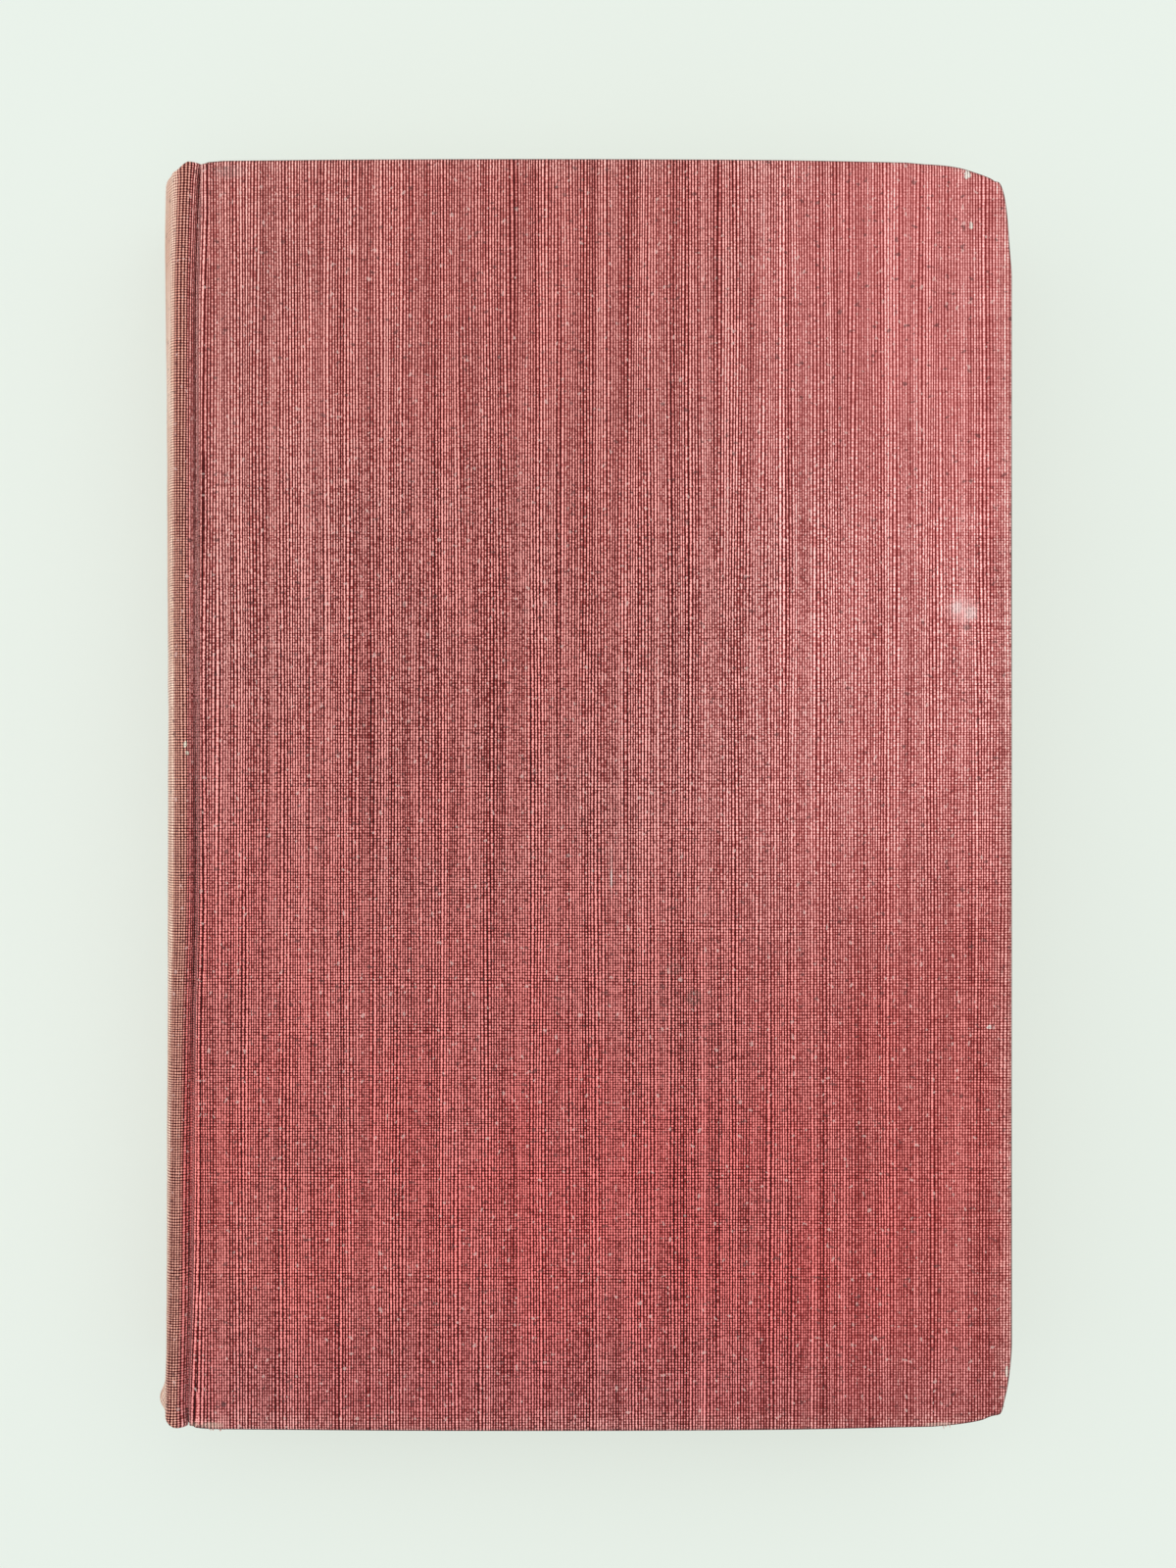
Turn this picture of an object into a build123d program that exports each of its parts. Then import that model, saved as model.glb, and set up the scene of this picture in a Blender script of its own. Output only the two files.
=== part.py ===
from build123d import *
import math
import os

# A hardback book bound in cloth, closed and lying on its back cover, all sizes in millimetres.
# X runs from the spine to the fore-edge, Y from tail to head, Z up through the thickness.
# The origin is the middle of the footprint, on the surface that the book lies on.

# Whole book
book_height = 196.0  # head to tail, over the covers
book_thickness = 32.0  # outer face to outer face of the two covers
cover_reach = 125.7  # joint line to the fore-edge of a cover
spine_reach = 7.2  # joint line to the outside of the spine, at the middle of its height
spine_flare = 1.1  # how much further the worn caps of the spine stand out

# Materials
board_thickness = 2.6
cloth_thickness = 0.4
paper_thickness = 0.2  # endpapers and spine lining
mull_thickness = 0.25
inlay_thickness = 0.8

# Clearances
joint_clearance = 0.3  # joint line to the cover's own cloth
air_gap = 0.2  # pastedown to free endpaper
glue_line = 0.03  # cloth to the card inside the spine

# Covers
square = 3.0  # how far the covers stand out past the pages
cloth_turn_in = 15.0  # cloth folded over the inside of the boards and of the spine
head_corner_width = 14.0  # worn corner of the front cover, along the head edge
head_corner_drop = 10.5  # the same corner, down the fore-edge
tail_corner_width = 10.0
tail_corner_drop = 8.5
back_corner_width = 8.0  # both ways, at both corners of the back cover
worn_edge = 0.8  # rounding of the cloth over the edge of a board

# Spine of the case
ridge_setback = 2.6  # joint line to the middle of the ridge beside it
ridge_drop = 0.6  # top of the ridge below the face of the cover
ridge_radius = 2.0
groove_slope = 25.0  # lean of the groove's wall from upright, degrees
inlay_setback = 1.0  # edge of the inlay below the middle of the ridge
cap_rounding = 0.6  # fold of the cloth at head and tail of the spine

# Text block
block_reach = 4.9  # joint line to the rounded back of the pages
shoulder_setback = 1.7  # joint line to the middle of the shoulder
shoulder_depth = 3.2  # cover face to the middle of the shoulder
fore_edge_hollow = 4.2
mull_short = 12.0  # mull stops short of the pages at head and tail
mull_flange_width = 24.0
lining_short = 2.0  # lining stops short of the pages at head and tail
lining_setback = 2.0  # and of the middle of the shoulder

# Outlines that the spine is drawn through, from tail to head, and how late the flare begins
station_count = 9
flare_power = 4

# Worked out from the sizes above
half_height = book_height / 2
half_thickness = book_thickness / 2
cover_thickness = board_thickness + 2 * cloth_thickness
joint_x = (spine_reach + spine_flare - cover_reach) / 2
fore_x = joint_x + cover_reach
groove_depth = cover_thickness
pages_half_height = half_height - square
pages_fore_x = fore_x - square
pages_half_thickness = half_thickness - cover_thickness - 2 * paper_thickness - air_gap
cloth_edge_x = joint_x + joint_clearance
board_edge_x = cloth_edge_x + cloth_thickness
overrun = book_thickness  # how far cutters run past what they cut
lean = math.radians(groove_slope)
wall_facing = Vector(math.cos(lean), math.sin(lean))
ridge = Vector(joint_x - ridge_setback, half_thickness - ridge_drop - ridge_radius)
shoulder = Vector(joint_x - shoulder_setback, half_thickness - shoulder_depth)
# The cloth of the groove rests on the mull over the shoulder
shoulder_radius = (ridge - shoulder).dot(wall_facing) + ridge_radius - cloth_thickness - mull_thickness


def block(low, high):
    """A plain block between two corners."""
    size = [b - a for a, b in zip(low, high)]
    middle = [(a + b) / 2 for a, b in zip(low, high)]
    return Pos(*middle) * Box(*size)


def section(edges):
    """A flat face across the book, from edges drawn in X and Z."""
    return Plane.XZ * make_face(Curve() + edges)


def back_edges(reach, bend, radius, foot, inset=0):
    """The rounded back with a ridge at each end, as edges from the front foot to the back foot.

    The ridge is rounded about the point bend. An inset moves the whole outline inwards.
    """
    rise = bend.X - joint_x + reach
    back_radius = (rise**2 + bend.Y**2 - radius**2) / (2 * (rise - radius))
    centre = Vector(joint_x - reach + back_radius, 0)
    tangent = math.atan2(bend.Y, bend.X - centre.X)
    small = radius - inset

    def on_ridge(angle):
        return bend + Vector(math.cos(angle), math.sin(angle)) * small

    wall_top = on_ridge(lean)
    drop = wall_top.Y - foot
    wall_foot = wall_top + Vector(math.sin(lean), -math.cos(lean)) * (drop / math.cos(lean))
    ridge_top = on_ridge((lean + tangent) / 2)
    back_start = on_ridge(tangent)
    back_middle = Vector(joint_x - reach + inset, 0)

    def low(point):
        return Vector(point.X, -point.Y)

    edges = [
        Line(wall_foot, wall_top),
        ThreePointArc(wall_top, ridge_top, back_start),
        ThreePointArc(back_start, back_middle, low(back_start)),
        ThreePointArc(low(back_start), low(ridge_top), low(wall_top)),
        Line(low(wall_top), low(wall_foot)),
    ]
    return wall_foot, low(wall_foot), edges


def spine_form(inset, closing_x=None):
    """The solid inside of the case's spine at one depth below its cloth, drawn through its heights."""
    faces = []
    for station in range(station_count):
        height_share = 2 * station / (station_count - 1) - 1
        reach = spine_reach + spine_flare * abs(height_share) ** flare_power
        foot = half_thickness - groove_depth
        front, back, edges = back_edges(reach, ridge, ridge_radius, foot, inset)
        right = front.X if closing_x is None else closing_x
        if closing_x is not None:
            edges += [Line(back, Vector(right, back.Y)), Line(Vector(right, front.Y), front)]
        edges += [Line(Vector(right, back.Y), Vector(right, front.Y))]
        faces.append(Pos(0, height_share * half_height, 0) * section(edges))
    return loft(faces, ruled=True)


def block_form(outset, foot):
    """The back of the pages as a prism, grown outwards by what is glued on it."""
    front, back, edges = back_edges(block_reach, shoulder, shoulder_radius, foot, -outset)
    edges += [Line(back, Vector(0, back.Y)), Line(Vector(0, back.Y), Vector(0, front.Y))]
    edges += [Line(Vector(0, front.Y), front)]
    return extrude(section(edges), book_height, both=True)


def slab(half_length, left=-cover_reach, right=cover_reach, half_depth=book_thickness):
    """A cutter that keeps what lies within half_length of the middle of the height."""
    return block((left, -half_length, -half_depth), (right, half_length, half_depth))


def plate(left, right, half_length, low, high, head_wear, tail_wear):
    """A flat plate whose fore-edge corners are worn to soft curves, each (along, down) in length."""
    head_fore = Vector(right, half_length)
    tail_fore = Vector(right, -half_length)
    head_start = head_fore - Vector(head_wear[0], 0)
    head_end = head_fore - Vector(0, head_wear[1])
    tail_start = tail_fore + Vector(0, tail_wear[1])
    tail_end = tail_fore - Vector(tail_wear[0], 0)
    outline = make_face(
        Curve()
        + [
            Line((left, -half_length), (left, half_length)),
            Line((left, half_length), head_start),
            Bezier(head_start, head_fore, head_end),
            Line(head_end, tail_start),
            Bezier(tail_start, tail_fore, tail_end),
            Line(tail_end, (left, -half_length)),
        ]
    )
    return Pos(0, 0, low) * extrude(outline, high - low)


def make_text_block():
    """The pages: round back with shoulders, hollow fore-edge."""
    half = pages_half_thickness
    front, back, edges = back_edges(block_reach, shoulder, shoulder_radius, half)
    fore_front = Vector(pages_fore_x, half)
    fore_back = Vector(pages_fore_x, -half)
    fore_middle = Vector(pages_fore_x - fore_edge_hollow, 0)
    edges += [Line(back, fore_back), ThreePointArc(fore_back, fore_middle, fore_front)]
    edges += [Line(fore_front, front)]
    return extrude(section(edges), pages_half_height, both=True)


def make_mull():
    """Open cloth over the back and shoulders of the pages."""
    foot = pages_half_thickness
    shell = block_form(mull_thickness, foot) - block_form(0, foot)
    return shell & slab(pages_half_height - mull_short)


def make_spine_lining():
    """Paper over the mull, which steps down onto the pages above and below it."""
    foot = pages_half_thickness
    over_mull = pages_half_height - mull_short + paper_thickness
    whole = slab(pages_half_height - lining_short, half_depth=shoulder.Y - lining_setback)
    high_form = block_form(mull_thickness + paper_thickness, foot)
    low_form = block_form(paper_thickness, foot)
    high = high_form & slab(over_mull)
    sheet = (high + low_form) - block_form(0, foot)
    sheet -= block_form(mull_thickness, foot) & slab(pages_half_height - mull_short)
    return sheet & whole


def make_spine_inlay():
    """The card strip that stiffens the spine of the case."""
    right = cover_reach
    shell = spine_form(cloth_thickness + glue_line, right)
    shell -= spine_form(cloth_thickness + inlay_thickness - glue_line, right)
    edge = ridge.Y - inlay_setback
    return shell & slab(half_height - cloth_thickness, right=joint_x, half_depth=edge)


def rolled_ends(shape, pick):
    """Rounds the edges that pick chooses on the faces at tail and head, as cloth rounds over a fold."""
    for end in (0, -1):
        edges = shape.faces().sort_by(Axis.Y)[end].edges()
        shape = fillet(pick(edges.sort_by(Axis.X)), cap_rounding)
    return shape


def inner_arc(edges):
    """The long arc inside the back, where the cloth turns over the inlay."""
    arcs = edges.filter_by(GeomType.CIRCLE)
    return arcs.filter_by_position(Axis.Z, -cap_rounding, cap_rounding)[-1:]


def make_spine_cloth():
    """Cloth over the spine, turned over the inlay at head and tail."""
    right = cover_reach
    inner = cloth_thickness + inlay_thickness
    outer = rolled_ends(spine_form(0), lambda edges: edges[:-1])
    under_cloth = spine_form(cloth_thickness, right)
    under_inlay = spine_form(inner, right)
    under_turn_in = spine_form(inner + cloth_thickness, right)
    edge = ridge.Y - inlay_setback
    strip = slab(half_height, right=joint_x, half_depth=edge)
    ends = strip - slab(half_height - cloth_thickness)
    turned = strip - slab(half_height - cloth_turn_in)
    cloth = outer - under_cloth
    cloth += (under_cloth - under_turn_in) & ends
    cloth += (under_inlay - under_turn_in) & turned
    return rolled_ends(cloth, inner_arc)


def rounded_rims(shape, radius):
    """The plate with the edges of its two faces rounded."""
    faces = shape.faces().sort_by(Axis.Z)
    return fillet(faces[0].edges() + faces[-1].edges(), radius)


def make_cover(head_wear, tail_wear):
    """Board, cloth, mull flange and pastedown of the front cover, as a dictionary."""
    face = half_thickness
    inside = face - cover_thickness
    board_low = inside + cloth_thickness
    board_wear = [[length - cloth_thickness for length in wear] for wear in (head_wear, tail_wear)]

    board = plate(
        board_edge_x,
        fore_x - cloth_thickness,
        half_height - cloth_thickness,
        board_low,
        face - cloth_thickness,
        *board_wear,
    )
    wrap = plate(cloth_edge_x, fore_x, half_height, inside, face, head_wear, tail_wear)
    wrap = rounded_rims(wrap, worn_edge)

    window_right = fore_x - cloth_turn_in
    window_half = half_height - cloth_turn_in
    window = block(
        (cloth_edge_x - overrun, -window_half, inside - overrun),
        (window_right, window_half, board_low),
    )
    cloth = wrap - board - window

    flange_half = pages_half_height - mull_short
    flange_right = board_edge_x + mull_flange_width
    flange_low = board_low - mull_thickness
    flange = block((board_edge_x, -flange_half, flange_low), (flange_right, flange_half, board_low))

    sheet = block(
        (board_edge_x, -pages_half_height, inside - paper_thickness),
        (pages_fore_x, pages_half_height, board_low),
    )
    hollow = block(
        (board_edge_x - overrun, -window_half + paper_thickness, inside - overrun),
        (window_right - paper_thickness, window_half - paper_thickness, board_low - paper_thickness),
    )
    over_flange = block(
        (board_edge_x - overrun, -flange_half - paper_thickness, flange_low - paper_thickness),
        (flange_right + paper_thickness, flange_half + paper_thickness, board_low),
    )
    pastedown = sheet - (wrap - window) - flange - (hollow - over_flange)
    return {"board": board, "cloth": cloth, "mull_flange": flange, "pastedown": pastedown}


def make_free_endpaper():
    """The loose leaf that lies on the pages under the front cover."""
    low = pages_half_thickness
    wall = shoulder + wall_facing * (shoulder_radius + mull_thickness)
    foot_x = wall.X + (wall.Y - low) * math.tan(lean)
    return block(
        (foot_x, -pages_half_height, low),
        (pages_fore_x, pages_half_height, low + paper_thickness),
    )


def export(name, shape):
    """Writes one piece, raised so that the back cover lies on the surface."""
    raised = Pos(0, 0, half_thickness) * shape
    solids = raised.solids()
    piece = solids[0] if len(solids) == 1 else Compound(children=list(solids))
    export_step(piece, os.path.join("parts", name + ".step"))


os.makedirs("parts", exist_ok=True)

head_corner = (head_corner_width, head_corner_drop)
tail_corner = (tail_corner_width, tail_corner_drop)
back_corner = (back_corner_width, back_corner_width)
front_cover = make_cover(head_corner, tail_corner)
back_cover = make_cover(back_corner, back_corner)
for piece_name, shape in front_cover.items():
    export("front_" + piece_name, shape)
for piece_name, shape in back_cover.items():
    export("back_" + piece_name, mirror(shape, about=Plane.XY))

endpaper = make_free_endpaper()
export("front_free_endpaper", endpaper)
export("back_free_endpaper", mirror(endpaper, about=Plane.XY))
export("text_block", make_text_block())
export("mull", make_mull())
export("spine_lining", make_spine_lining())
export("spine_inlay", make_spine_inlay())
export("spine_cloth", make_spine_cloth())
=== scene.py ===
import bmesh
import bpy
import math
import random
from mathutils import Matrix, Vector, noise


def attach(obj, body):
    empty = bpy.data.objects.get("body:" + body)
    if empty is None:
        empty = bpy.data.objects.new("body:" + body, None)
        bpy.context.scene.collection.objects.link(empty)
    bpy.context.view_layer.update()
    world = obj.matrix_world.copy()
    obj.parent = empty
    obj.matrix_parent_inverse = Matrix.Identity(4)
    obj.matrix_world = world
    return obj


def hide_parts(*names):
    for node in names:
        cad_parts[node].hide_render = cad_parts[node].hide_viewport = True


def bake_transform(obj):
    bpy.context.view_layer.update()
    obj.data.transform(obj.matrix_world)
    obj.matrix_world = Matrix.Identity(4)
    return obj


# A worn cloth hardback, closed and lying on its back cover. The frame is in metres, and
# the sizes of the pieces here are in millimetres until makePiece brings them to metres.
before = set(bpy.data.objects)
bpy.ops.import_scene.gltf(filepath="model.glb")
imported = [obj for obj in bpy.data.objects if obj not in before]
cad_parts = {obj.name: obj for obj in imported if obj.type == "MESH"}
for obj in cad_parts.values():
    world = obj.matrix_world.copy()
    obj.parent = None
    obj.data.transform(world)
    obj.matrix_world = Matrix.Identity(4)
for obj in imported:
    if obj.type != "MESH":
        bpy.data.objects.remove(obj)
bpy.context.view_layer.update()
mm = 0.001
bookThick = 32.0
middleZ = bookThick / 2
weaveSpan = 200.0  # millimetres of cloth across the weave map
grooveOnCloth = -60.6  # where the groove lies on the unfolded cloth


# small helpers for shapes

def soft(value, low, high):
    share = min(1.0, max(0.0, (value - low) / (high - low)))
    return share * share * (3 - 2 * share)


def mix(first, second, share):
    return first + (second - first) * share


def readTable(table, value):
    # a smooth curve through a table of (place, amount) pairs
    if value <= table[0][0]:
        return table[0][1]
    for k in range(len(table) - 1):
        (a, b), (c, d) = table[k], table[k + 1]
        if value <= c:
            before = table[max(0, k - 1)]
            after = table[min(len(table) - 1, k + 2)]
            slopeIn = (d - before[1]) / (c - before[0])
            slopeOut = (after[1] - b) / (after[0] - a)
            t = (value - a) / (c - a)
            span = c - a
            return (
                b * (1 + 2 * t) * (1 - t) ** 2
                + d * t * t * (3 - 2 * t)
                + slopeIn * span * t * (1 - t) ** 2
                + slopeOut * span * t * t * (t - 1)
            )
    return table[-1][1]


def unitBox(cutsX, cutsY, cutsZ):
    # a cube from 0 to 1 whose sides are cut into grids
    bm = bmesh.new()
    bmesh.ops.create_cube(bm, size=1)
    bmesh.ops.translate(bm, vec=(0.5, 0.5, 0.5), verts=bm.verts)
    for axis, cuts in enumerate((cutsX, cutsY, cutsZ)):
        if cuts:
            lines = [e for e in bm.edges if abs((e.verts[0].co - e.verts[1].co)[axis]) > 1e-6]
            bmesh.ops.subdivide_edges(bm, edges=lines, cuts=cuts, use_grid_fill=True)
    return bm


def unitSheet(columns, rows):
    # a flat sheet from 0 to 1
    bm = bmesh.new()
    bmesh.ops.create_grid(bm, x_segments=columns, y_segments=rows, size=0.5)
    bmesh.ops.translate(bm, vec=(0.5, 0.5, 0), verts=bm.verts)
    return bm


def faceOut(bm):
    bm.normal_update()
    bmesh.ops.recalc_face_normals(bm, faces=bm.faces)
    bm.normal_update()


def faceToward(bm, direction):
    # turns an open sheet so that most of it faces one way
    bm.normal_update()
    if sum(f.normal.dot(direction) * f.calc_area() for f in bm.faces) < 0:
        bmesh.ops.reverse_faces(bm, faces=bm.faces)
        bm.normal_update()


def sideUp(z, front):
    # a height on the front half, or the same height mirrored to the back half
    return z if front else bookThick - z


def onWeaveMap(u, v):
    return u / weaveSpan + 0.5, v / weaveSpan + 0.5


def layWeave(bm, flat):
    # the cloth's own map: flat(face, place) gives the place on the unfolded cloth, in mm
    layer = bm.loops.layers.uv.new("weave")
    for face in bm.faces:
        for loop in face.loops:
            loop[layer].uv = onWeaveMap(*flat(face, loop.vert.co))


def makePiece(name, bm, finish, sharpAngle=50):
    bmesh.ops.scale(bm, vec=(mm, mm, mm), verts=bm.verts)
    mesh = bpy.data.meshes.new(name)
    bm.to_mesh(mesh)
    bm.free()
    mesh.materials.append(finish)
    mesh.shade_smooth()
    mesh.set_sharp_from_angle(angle=math.radians(sharpAngle))
    piece = bpy.data.objects.new(name, mesh)
    bpy.context.scene.collection.objects.link(piece)
    return piece


def thicken(piece, thickness, offset=-1.0):
    wall = piece.modifiers.new("wall", "SOLIDIFY")
    wall.thickness = thickness * mm
    wall.offset = offset
    wall.use_even_offset = True


# small helpers for finishes

def tint(red, green, blue):
    parts = [value / 255 for value in (red, green, blue)]
    parts = [p / 12.92 if p <= 0.04045 else ((p + 0.055) / 1.055) ** 2.4 for p in parts]
    return (*parts, 1.0)


def put(tree, kind, **settings):
    node = tree.nodes.new("ShaderNode" + kind)
    for key, value in settings.items():
        setattr(node, key, value)
    return node


def treeOf(*values):
    # the node tree that the sockets among these values are part of
    return next(v.id_data for v in values if isinstance(v, bpy.types.NodeSocket))


def feed(socket, value):
    if isinstance(value, bpy.types.NodeSocket):
        socket.id_data.links.new(value, socket)
    else:
        socket.default_value = value


def calc(operation, *values, clamp=False):
    node = put(treeOf(*values), "Math", operation=operation, use_clamp=clamp)
    for socket, value in zip(node.inputs, values):
        feed(socket, value)
    return node.outputs[0]


def times(first, second, clamp=False):
    return calc("MULTIPLY", first, second, clamp=clamp)


def timesPlus(first, second, extra):
    return calc("MULTIPLY_ADD", first, second, extra)


def fade(value, low, high, start=0.0, end=1.0):
    node = put(treeOf(value), "MapRange", interpolation_type="SMOOTHSTEP")
    for socket, amount in zip(node.inputs, (value, low, high, start, end)):
        feed(socket, amount)
    return node.outputs[0]


def blendColour(share, first, second, kind="MIX"):
    node = put(treeOf(share, first, second), "Mix", data_type="RGBA", blend_type=kind)
    feed(node.inputs[0], share)
    feed(node.inputs[6], first)
    feed(node.inputs[7], second)
    return node.outputs[2]


def cloud(place, scale, detail=2.0, shift=(0, 0, 0), rough=0.5):
    # noise with its own scale along each direction of place
    tree = treeOf(place)
    turn = put(tree, "Mapping")
    feed(turn.inputs["Vector"], place)
    turn.inputs["Scale"].default_value = scale
    turn.inputs["Location"].default_value = shift
    node = put(tree, "TexNoise", noise_dimensions="2D" if scale[2] == 1 else "3D")
    feed(node.inputs["Vector"], turn.outputs[0])
    node.inputs["Scale"].default_value = 1.0
    node.inputs["Detail"].default_value = detail
    node.inputs["Roughness"].default_value = rough
    return node.outputs[0]


def chance(first, second):
    # an even random number for each pair of numbers
    tree = treeOf(first)
    pair = put(tree, "CombineXYZ")
    feed(pair.inputs[0], first)
    feed(pair.inputs[1], second)
    node = put(tree, "TexWhiteNoise", noise_dimensions="2D")
    feed(node.inputs["Vector"], pair.outputs[0])
    return node.outputs["Value"]


def newFinish(name, roughness, specular=0.3):
    finish = bpy.data.materials.new(name)
    finish.use_nodes = True
    tree = finish.node_tree
    shader = tree.nodes["Principled BSDF"]
    shader.inputs["Roughness"].default_value = roughness
    shader.inputs["Specular IOR Level"].default_value = specular
    return finish, tree, shader


def bumpFrom(shader, height, distance, strength=1.0):
    bump = put(treeOf(height), "Bump")
    bump.inputs["Strength"].default_value = strength
    bump.inputs["Distance"].default_value = distance * mm
    feed(bump.inputs["Height"], height)
    feed(shader.inputs["Normal"], bump.outputs[0])


# book cloth

cloth = {
    "warpStep": 0.45,  # one thread across, in mm
    "weftStep": 0.40,
    "slubLength": 30.0,
    "pickStep": 0.48,  # the darker and lighter picks that show in the lower half
    "fibresAcross": 1.85,  # fibre cells in one thread
    "fibresAlong": 1.6,
    "warpShare": 8.6,  # how much each of these lightens or darkens
    "weftShare": 1.0,
    "weftLow": 2.6,  # the weft shows more in the lower half
    "weftSpine": 4.0,
    "weftFore": 0.9,
    "holeShare": 16.0,  # dark holes between the threads of the spine
    "overShare": 0.8,
    "threadShare": 0.95,
    "slubShare": 0.85,
    "fibreShare": 1.95,
    "fibreMiddle": 0.9,
    "runShare": 1.7,
    "toneShares": (0.42, 0.72, 0.72),  # green and blue swing more than red
    "deepShares": (0.0, 0.24, 0.24),  # and more so in the gaps, which stay red
    "lift": -1.16,
    "sunLift": 0.68,
    "balance": (1.03, 0.755, 0.765, 1),
    "brightest": 2.3,
    "spineBrightest": 0.7,
    "foreContrast": 0.56,  # contrast left near the fore-edge, and on the spine
    "spineContrast": 0.5,
    "middleContrast": 0.3,  # contrast added from the middle down
    "relief": 0.09,
    "wander": 36.0,  # how far the broad fields of colour wander, in mm
    "dull": tint(150, 104, 100),
    "rubbed": tint(188, 144, 136),
    # sun-bleached colours of the spine, raised with painted light for its curve that turns away from the
    # lamps
    "bleachedAndPaintedLight": tint(236, 206, 180),
    "bleachedPaleAndPaintedLight": tint(254, 240, 218),
    "crest": tint(202, 154, 136),
    "lint": tint(226, 186, 180),
    "dirt": tint(84, 48, 48),
    "grooveDustAndPaintedLight": (1.13, 1.38, 1.42, 1),  # multiplies the colour, as the rims' painted shade does: pale dust and painted light that lifts the shade in the groove
    # painted shade along the rims, where the cloth turns down away from the light
    "paintedRimShade": (0.24, 0.16, 0.16, 1),
}
# noise on the cloth: waves for each millimetre across and along the threads, and their detail
clothNoise = {
    "blotch": (0.022, 0.016, 2),
    "patch": (0.09, 0.05, 1),
    "rubbedEdge": (0.5, 0.5, 1),
    "mottle": (0.2, 0.05, 2),
    "drift": (0.35, 0.012, 1),  # threads that don't run quite straight
    "driftLong": (0.02, 0.3, 0),
    "run": (1.2, 0.012, 1),  # streaks along the threads
    "lint": (1.1, 0.9, 1),
    "dirt": (0.8, 1.0, 1),
    "markEdge": (2.4, 2.4, 2),
}
# broad colours of the covers, with a painted sheen that is paler and pinker towards the head
frontFields = {
    "mean": tint(174, 95, 91),
    "headPaintedSheen": tint(179, 103, 98),
    "headRightPaintedSheen": tint(204, 134, 131),
    "headLeftPaintedSheen": tint(184, 126, 119),
    "tailEdge": tint(156, 86, 86),
    "tailRed": tint(177, 78, 76),
    "tailLeft": tint(176, 85, 81),
}
backFields = {
    "mean": tint(168, 88, 86),
    "headPaintedSheen": tint(174, 100, 96),
    "headRightPaintedSheen": tint(178, 104, 100),
    "headLeftPaintedSheen": tint(172, 112, 106),
    "tailEdge": tint(150, 82, 82),
    "tailRed": tint(166, 80, 78),
    "tailLeft": tint(158, 80, 80),
}
# marks: place and half size in mm, colour, how strong, and whether it is soft, crisp or a ring
frontMarks = [
    ((59.4, 28.5), (2.5, 2.0), tint(252, 186, 184), 0.65, "soft"),
    ((58.6, 28.9), (1.0, 0.9), tint(255, 212, 210), 0.8, "soft"),
    ((60.6, 28.0), (0.9, 1.1), tint(255, 214, 211), 0.8, "soft"),
    ((60.0, 25.8), (0.7, 0.5), tint(150, 120, 118), 0.6, "soft"),
    ((5.2, -11.6), (0.13, 4.2), tint(226, 190, 184), 0.4, "soft"),
    ((5.2, -12.8), (0.14, 1.3), tint(246, 228, 224), 0.6, "soft"),
    ((7.8, -12.2), (0.12, 2.1), tint(226, 190, 184), 0.35, "soft"),
    ((6.6, -12.5), (0.2, 0.2), tint(236, 210, 205), 0.6, "soft"),
    ((2.4, -11.7), (0.2, 0.2), tint(236, 210, 205), 0.6, "soft"),
    ((14.8, -26.8), (1.3, 0.9), tint(124, 92, 86), 0.4, "ring"),
    ((18.0, -31.2), (1.2, 1.2), tint(110, 84, 76), 0.55, "ring"),
    ((63.5, -35.8), (0.4, 0.3), tint(240, 222, 216), 0.85, "crisp"),
    ((60.1, 95.7), (0.5, 0.75), tint(240, 230, 220), 0.95, "crisp"),
    ((60.7, 87.8), (0.28, 0.65), tint(243, 222, 210), 1.0, "crisp"),
    ((66.2, -88.9), (0.25, 1.0), tint(236, 216, 204), 0.9, "crisp"),
    ((-54.6, -94.0), (0.45, 0.4), tint(84, 50, 52), 0.8, "soft"),
    ((-53.6, 96.2), (2.6, 1.1), tint(190, 150, 146), 0.3, "soft"),
    ((-56.5, -97.2), (1.8, 0.5), tint(224, 188, 172), 0.6, "soft"),
    ((56.0, -97.1), (2.6, 0.35), tint(224, 188, 176), 0.6, "soft"),
    ((-62.7, 7.8), (0.3, 0.5), tint(246, 232, 212), 1.0, "crisp"),
    ((-62.4, 6.5), (0.35, 0.3), tint(246, 232, 212), 0.9, "crisp"),
    ((-70.5, 63.9), (0.3, 0.3), tint(90, 62, 52), 0.9, "crisp"),
    ((-71.5, 88.8), (0.5, 4.2), tint(236, 206, 130), 0.5, "soft"),
]
backMarks = [
    ((20.0, 40.0), (3.0, 2.2), tint(128, 84, 80), 0.5, "ring"),
    ((60.5, 93.0), (6.0, 5.0), tint(176, 140, 138), 0.5, "soft"),
    ((61.0, -94.0), (6.0, 5.0), tint(176, 140, 138), 0.5, "soft"),
    ((-12.0, -30.0), (0.16, 5.0), tint(220, 190, 185), 0.5, "soft"),
]


def clothPlace(tree, seed):
    # places on the unfolded cloth in mm, u across and v along, and what follows from them
    split = put(tree, "SeparateXYZ")
    feed(split.inputs[0], put(tree, "UVMap", uv_map="weave").outputs[0])
    u = timesPlus(split.outputs[0], weaveSpan, -weaveSpan / 2)
    v = timesPlus(split.outputs[1], weaveSpan, -weaveSpan / 2)
    joined = put(tree, "CombineXYZ")
    feed(joined.inputs[0], u)
    feed(joined.inputs[1], v)
    spot = {"u": u, "v": v, "place": joined.outputs[0], "far": (seed, seed * 0.7, 0), "seed": seed}
    blotch = clothCloud(spot, "blotch")
    wander = timesPlus(blotch, cloth["wander"], -cloth["wander"] / 2)
    spot["height"] = calc("ADD", v, wander)
    spot["sideways"] = calc("ADD", u, wander)
    notFore = fade(spot["sideways"], 62, 20, 0.3, 1.0)
    spot["low"] = times(fade(spot["height"], 10, -80), notFore)
    belowHead = fade(spot["height"], 66, 30)
    aboveTail = fade(spot["height"], -112, -85)
    spot["middle"] = times(belowHead, aboveTail)
    for part in ("sunFade", "grooveDustAndPaintedLight", "paintedRimShadeMask"):
        spot[part] = put(tree, "Attribute", attribute_name=part).outputs["Fac"]
    return spot


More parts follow.
